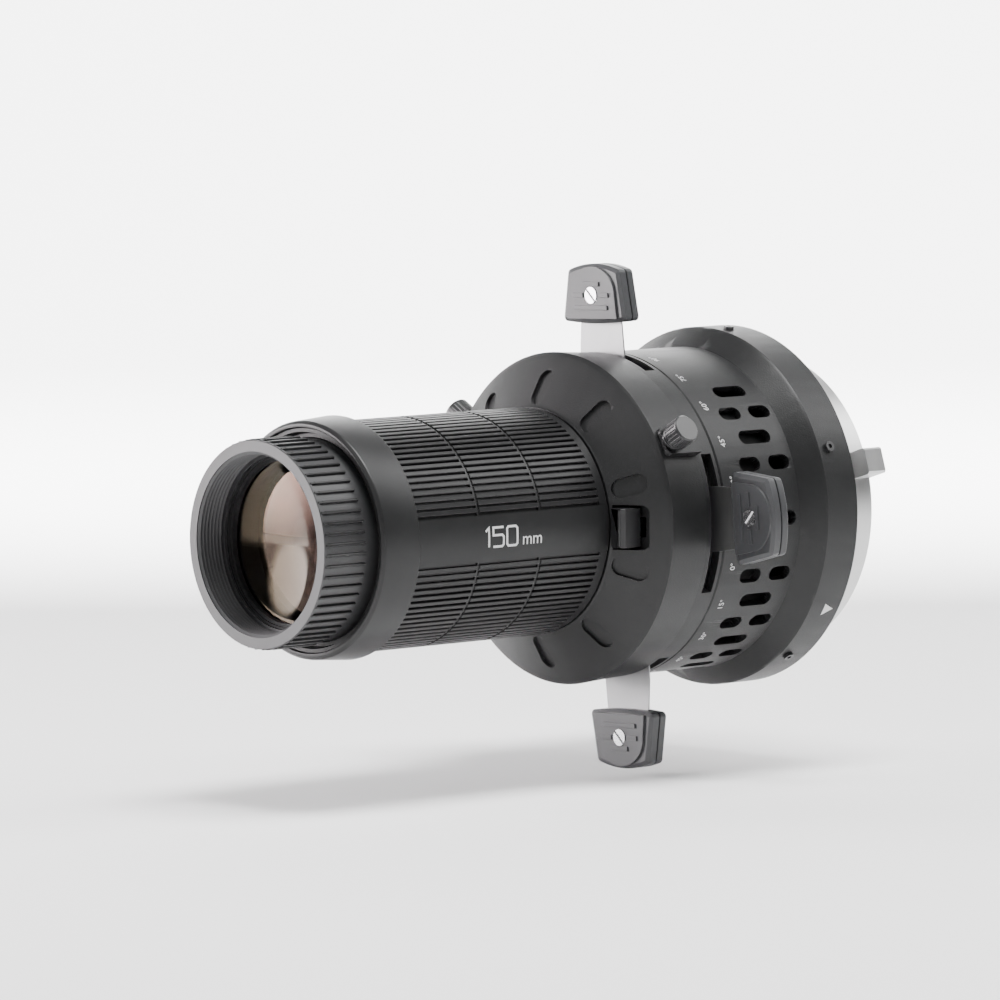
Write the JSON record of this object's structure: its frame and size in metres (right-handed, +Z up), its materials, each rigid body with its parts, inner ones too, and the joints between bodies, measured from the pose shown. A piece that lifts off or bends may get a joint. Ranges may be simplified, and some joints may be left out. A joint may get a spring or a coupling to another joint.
{
  "type": "ellipsoidal spotlight",
  "caption": "Ellipsoidal spotlight projection head: bayonet rear barrel with vents, turning shutter drum with blade handles, and a ribbed interchangeable lens tube with focusing ring.",
  "frame": {"origin": "on the optical axis, in the plane of the rear rim's seating face, where the bayonet meets the lamp head", "axes": "+Y along the optical axis towards the lamp head, so light leaves along -Y; +Z up; +X to the side with the lens latch"},
  "size_m": [0.1456, 0.1979, 0.1456],
  "materials": {
    "black_casting": "fine-textured satin black powder coat",
    "black_anodised": "matt black anodised",
    "black_satin_tube": "smooth satin black",
    "focus_ring_satin": "satin dark grey, turned front face",
    "plated_steel": "satin nickel plate",
    "gate_steel": "plain rolled steel",
    "blade_steel": "brushed stainless sheet",
    "handle_screw_steel": "bright steel",
    "black_screws": "black oxide",
    "spring_wire": "bright spring wire",
    "bush_brass": "machined brass",
    "handle_plastic": "moulded heat-resistant plastic, fine grain",
    "latch_plastic": "moulded black plastic",
    "washer_nylon": "black nylon",
    "condenser_glass": "clear optical glass",
    "coated_glass": "multicoated optical glass"
  },
  "bodies": {
    "base": {"vented_barrel": "black_casting", "bayonet_ring": "plated_steel", "rim_screws": "black_screws", "condenser_cell": "black_anodised", "condenser_front_lens": "condenser_glass", "condenser_rear_lens": "condenser_glass", "condenser_spacer": "black_anodised", "condenser_retainer": "black_anodised"},
    "housing": {"drum_front_shell": "black_casting", "drum_rear_ring": "black_casting", "rotation_retainer": "plated_steel", "retainer_screws": "black_screws", "lens_socket": "black_anodised", "gate_plate_front": "gate_steel", "gate_plate_rear": "gate_steel", "gate_spacers": "gate_steel", "gate_screws": "black_screws", "blade_pins": "gate_steel", "latch_spring": "spring_wire"},
    "right_guide": {"right_guide_bush": "bush_brass"},
    "right_shutter": {"right_shutter_blade": "blade_steel", "right_handle_front": "handle_plastic", "right_handle_rear": "handle_plastic", "right_handle_insert": "bush_brass", "right_handle_screw": "handle_screw_steel"},
    "top_guide": {"top_guide_bush": "bush_brass"},
    "top_shutter": {"top_shutter_blade": "blade_steel", "top_handle_front": "handle_plastic", "top_handle_rear": "handle_plastic", "top_handle_insert": "bush_brass", "top_handle_screw": "handle_screw_steel"},
    "left_guide": {"left_guide_bush": "bush_brass"},
    "left_shutter": {"left_shutter_blade": "blade_steel", "left_handle_front": "handle_plastic", "left_handle_rear": "handle_plastic", "left_handle_insert": "bush_brass", "left_handle_screw": "handle_screw_steel"},
    "bottom_guide": {"bottom_guide_bush": "bush_brass"},
    "bottom_shutter": {"bottom_shutter_blade": "blade_steel", "bottom_handle_front": "handle_plastic", "bottom_handle_rear": "handle_plastic", "bottom_handle_insert": "bush_brass", "bottom_handle_screw": "handle_screw_steel"},
    "right_washer": {"right_thumb_washer": "washer_nylon"},
    "right_thumb": {"right_thumb_screw": "black_screws"},
    "left_washer": {"left_thumb_washer": "washer_nylon"},
    "left_thumb": {"left_thumb_screw": "black_screws"},
    "latch": {"lens_latch": "latch_plastic"},
    "lens": {"lens_tube": "black_satin_tube", "front_collar": "black_satin_tube", "lens_spigot": "black_anodised", "rear_baffle": "black_anodised"},
    "focus_carriage": {"focus_carrier": "black_anodised", "objective_front_lens": "coated_glass", "objective_rear_lens": "coated_glass", "objective_spacer": "black_anodised", "objective_retainer": "black_anodised"},
    "focus_grip": {"focus_ring": "focus_ring_satin"}
  },
  "joints": [
    {"name": "housing_turn", "type": "hinge", "parent": "base", "child": "housing", "pos_m": [0, -0.044, 0], "axis": [0, 1, 0], "range_deg": [-90, 90]},
    {"name": "right_swivel", "type": "hinge", "parent": "housing", "child": "right_guide", "pos_m": [0.03, -0.0517, 0], "axis": [0, -1, 0], "range_deg": [-25, 15]},
    {"name": "right_blade_slide", "type": "slide", "parent": "right_guide", "child": "right_shutter", "axis": [0.9962, 0, 0.0872], "range_m": [-0.005, 0.008]},
    {"name": "top_swivel", "type": "hinge", "parent": "housing", "child": "top_guide", "pos_m": [0, -0.0517, 0.03], "axis": [0, -1, 0], "range_deg": [-22, 18]},
    {"name": "top_blade_slide", "type": "slide", "parent": "top_guide", "child": "top_shutter", "axis": [-0.0349, 0, 0.9994], "range_m": [-0.005, 0.008]},
    {"name": "left_swivel", "type": "hinge", "parent": "housing", "child": "left_guide", "pos_m": [-0.03, -0.0517, 0], "axis": [0, -1, 0], "range_deg": [-20, 20]},
    {"name": "left_blade_slide", "type": "slide", "parent": "left_guide", "child": "left_shutter", "axis": [-1, 0, 0], "range_m": [-0.005, 0.008]},
    {"name": "bottom_swivel", "type": "hinge", "parent": "housing", "child": "bottom_guide", "pos_m": [0.0103, -0.0517, -0.03], "axis": [0, -1, 0], "range_deg": [-16, 8]},
    {"name": "bottom_blade_slide", "type": "slide", "parent": "bottom_guide", "child": "bottom_shutter", "axis": [0.0349, 0, -0.9994], "range_m": [-0.005, 0.005]},
    {"name": "right_thumb_slide", "type": "slide", "parent": "housing", "child": "right_washer", "axis": [0.866, 0, 0.5], "range_m": [0, 0.001]},
    {"name": "right_thumb_turn", "type": "hinge", "parent": "right_washer", "child": "right_thumb", "pos_m": [0.0433, -0.065, 0.025], "axis": [0.866, 0, 0.5], "range_deg": [0, 720]},
    {"name": "left_thumb_slide", "type": "slide", "parent": "housing", "child": "left_washer", "axis": [-0.866, 0, 0.5], "range_m": [0, 0.001]},
    {"name": "left_thumb_turn", "type": "hinge", "parent": "left_washer", "child": "left_thumb", "pos_m": [-0.0433, -0.065, 0.025], "axis": [-0.866, 0, 0.5], "range_deg": [0, 720]},
    {"name": "latch_slide", "type": "slide", "parent": "housing", "child": "latch", "axis": [1, 0, 0], "range_m": [0, 0.003], "stiffness_N_per_m": 250, "springref_m": -0.002},
    {"name": "lens_pull", "type": "slide", "parent": "housing", "child": "lens", "axis": [0, -1, 0], "range_m": [0, 0.03]},
    {"name": "focus_slide", "type": "slide", "parent": "lens", "child": "focus_carriage", "axis": [0, -1, 0], "range_m": [-0.0018, 0.0082]},
    {"name": "focus_turn", "type": "hinge", "parent": "focus_carriage", "child": "focus_grip", "pos_m": [0, -0.175, 0], "axis": [0, -1, 0], "range_deg": [-54, 246]}
  ],
  "couplings": [
    {"joint": "focus_slide", "follows": "focus_turn", "m_per_rad": 0.0019099},
    {"joint": "right_thumb_turn", "follows": "right_thumb_slide", "rad_per_m": 12566},
    {"joint": "left_thumb_turn", "follows": "left_thumb_slide", "rad_per_m": 12566}
  ]
}
